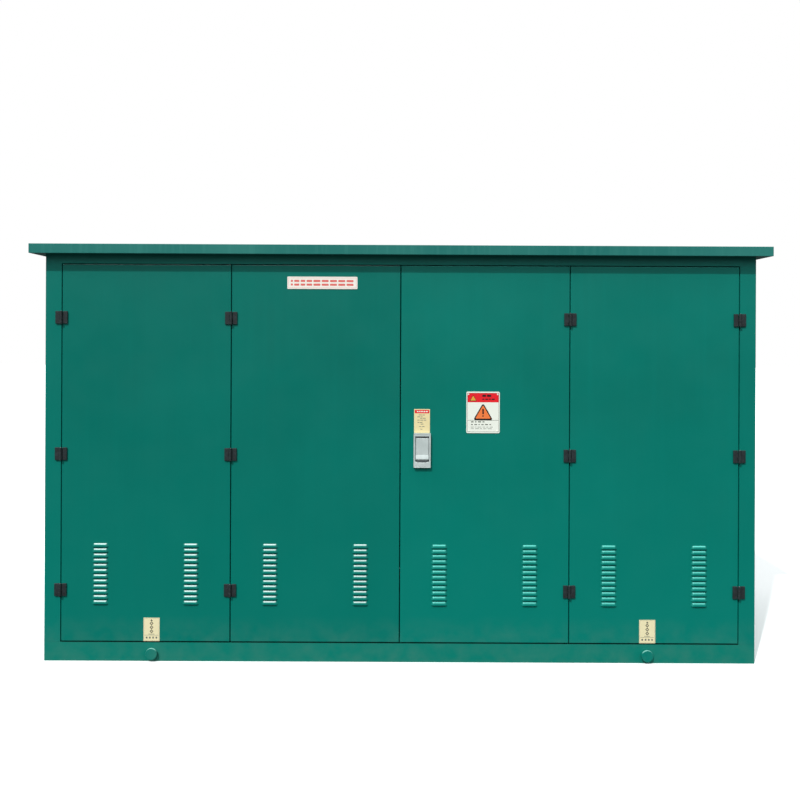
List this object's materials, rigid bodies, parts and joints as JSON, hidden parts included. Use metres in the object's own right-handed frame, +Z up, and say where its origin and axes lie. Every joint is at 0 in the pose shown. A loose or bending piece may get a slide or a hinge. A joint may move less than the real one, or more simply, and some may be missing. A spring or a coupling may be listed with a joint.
{
  "type": "pad-mounted cable branch cabinet",
  "caption": "Outdoor steel cable branch cabinet on a channel base, with a low hipped roof, bi-fold doors on block hinges, a rod lock, lifting pins and an enclosed three-phase busbar.",
  "frame": {"origin": "on the ground, under the middle of the roof", "axes": "+X to the right as seen from the front, +Y from the doors to the back, +Z up"},
  "size_m": [3.15, 1.1, 1.84],
  "materials": {
    "green_paint": "satin green enamel on steel sheet",
    "hinge_black": "matt black coated steel",
    "stainless": "brushed stainless steel",
    "zinc_steel": "dull galvanised steel",
    "sign_white": "printed white sign sheet",
    "label_cream": "printed cream film",
    "rubber": "matt black foam rubber",
    "epoxy": "red-brown cast epoxy",
    "copper": "plain copper bar",
    "panel_grey": "light grey moulded plastic"
  },
  "bodies": {
    "root": {"base_frame": "green_paint", "floor_plate": "zinc_steel", "left_side_panel": "green_paint", "right_side_panel": "green_paint", "rear_panel_left": "green_paint", "rear_panel_right": "green_paint", "front_frame": "green_paint", "door_seal": "rubber", "roof": "green_paint", "left_frame_hinge_fixed_leaves": "hinge_black", "right_frame_hinge_fixed_leaves": "hinge_black", "busbar_enclosure": "stainless", "enclosure_cover": "stainless", "enclosure_stand_left": "zinc_steel", "enclosure_stand_right": "zinc_steel", "bushing_way1_phase1": "epoxy", "bushing_way1_phase2": "epoxy", "bushing_way1_phase3": "epoxy", "bushing_way2_phase1": "epoxy", "bushing_way2_phase2": "epoxy", "bushing_way2_phase3": "epoxy", "bushing_way3_phase1": "epoxy", "bushing_way3_phase2": "epoxy", "bushing_way3_phase3": "epoxy", "bushing_way4_phase1": "epoxy", "bushing_way4_phase2": "epoxy", "bushing_way4_phase3": "epoxy", "busbar_phase_1": "copper", "busbar_phase_2": "copper", "busbar_phase_3": "copper", "cable_clamp_rail": "zinc_steel", "earth_bar": "copper", "live_line_indicator": "panel_grey"},
    "left_outer_door": {"door_left_outer": "green_paint", "left_frame_hinge_door_leaves": "hinge_black", "left_fold_hinge_outer_leaves": "hinge_black", "lifting_label_left": "label_cream"},
    "left_inner_door": {"door_left_inner": "green_paint", "left_fold_hinge_inner_leaves": "hinge_black", "name_plate": "sign_white"},
    "right_outer_door": {"door_right_outer": "green_paint", "right_frame_hinge_door_leaves": "hinge_black", "right_fold_hinge_outer_leaves": "hinge_black", "lifting_label_right": "label_cream"},
    "right_inner_door": {"door_right_inner": "green_paint", "right_fold_hinge_inner_leaves": "hinge_black", "lock_case": "stainless", "danger_sign": "sign_white", "lock_label": "label_cream"},
    "lock_flap": {"lock_flap": "stainless"},
    "lock_handle": {"lock_handle": "zinc_steel", "lock_pinion": "zinc_steel"},
    "lock_rod_upper": {"lock_rod_upper": "zinc_steel"},
    "lock_rod_lower": {"lock_rod_lower": "zinc_steel"},
    "slide_bolt_upper": {"slide_bolt_upper": "zinc_steel"},
    "slide_bolt_lower": {"slide_bolt_lower": "zinc_steel"},
    "lifting_pin_front_left": {"lifting_pin_front_left": "green_paint"},
    "lifting_pin_front_right": {"lifting_pin_front_right": "green_paint"},
    "lifting_pin_rear_left": {"lifting_pin_rear_left": "green_paint"},
    "lifting_pin_rear_right": {"lifting_pin_rear_right": "green_paint"}
  },
  "joints": [
    {"name": "left_outer_door_hinge", "type": "hinge", "parent": "root", "child": "left_outer_door", "pos_m": [-1.455, -0.5075, 0.889], "axis": [0, 0, -1], "range_deg": [0, 100]},
    {"name": "left_inner_door_hinge", "type": "hinge", "parent": "left_outer_door", "child": "left_inner_door", "pos_m": [-0.7275, -0.5075, 0.889], "axis": [0, 0, -1], "range_deg": [0, 170]},
    {"name": "right_outer_door_hinge", "type": "hinge", "parent": "root", "child": "right_outer_door", "pos_m": [1.455, -0.5075, 0.889], "axis": [0, 0, 1], "range_deg": [0, 100]},
    {"name": "right_inner_door_hinge", "type": "hinge", "parent": "right_outer_door", "child": "right_inner_door", "pos_m": [0.7275, -0.5075, 0.889], "axis": [0, 0, 1], "range_deg": [0, 170]},
    {"name": "lock_flap_hinge", "type": "hinge", "parent": "right_inner_door", "child": "lock_flap", "pos_m": [0.094, -0.5085, 0.9655], "axis": [-1, 0, 0], "range_deg": [0, 110]},
    {"name": "lock_handle_turn", "type": "hinge", "parent": "right_inner_door", "child": "lock_handle", "pos_m": [0.094, -0.49, 0.905], "axis": [0, 1, 0], "range_deg": [0, 90]},
    {"name": "lock_rod_upper_slide", "type": "slide", "parent": "right_inner_door", "child": "lock_rod_upper", "axis": [0, 0, 1], "range_m": [0, 0.02]},
    {"name": "lock_rod_lower_slide", "type": "slide", "parent": "right_inner_door", "child": "lock_rod_lower", "axis": [0, 0, -1], "range_m": [0, 0.02]},
    {"name": "slide_bolt_upper_slide", "type": "slide", "parent": "left_inner_door", "child": "slide_bolt_upper", "axis": [0, 0, 1], "range_m": [0, 0.03]},
    {"name": "slide_bolt_lower_slide", "type": "slide", "parent": "left_inner_door", "child": "slide_bolt_lower", "axis": [0, 0, -1], "range_m": [0, 0.03]},
    {"name": "lifting_pin_front_left_slide", "type": "slide", "parent": "root", "child": "lifting_pin_front_left", "axis": [0, -1, 0], "range_m": [0, 0.12]},
    {"name": "lifting_pin_front_right_slide", "type": "slide", "parent": "root", "child": "lifting_pin_front_right", "axis": [0, -1, 0], "range_m": [0, 0.12]},
    {"name": "lifting_pin_rear_left_slide", "type": "slide", "parent": "root", "child": "lifting_pin_rear_left", "axis": [0, 1, 0], "range_m": [0, 0.12]},
    {"name": "lifting_pin_rear_right_slide", "type": "slide", "parent": "root", "child": "lifting_pin_rear_right", "axis": [0, 1, 0], "range_m": [0, 0.12]}
  ],
  "couplings": [
    {"joint": "lock_handle_turn", "follows": "lock_rod_upper_slide", "rad_per_m": 78.5},
    {"joint": "lock_rod_lower_slide", "follows": "lock_rod_upper_slide", "ratio": 1}
  ]
}
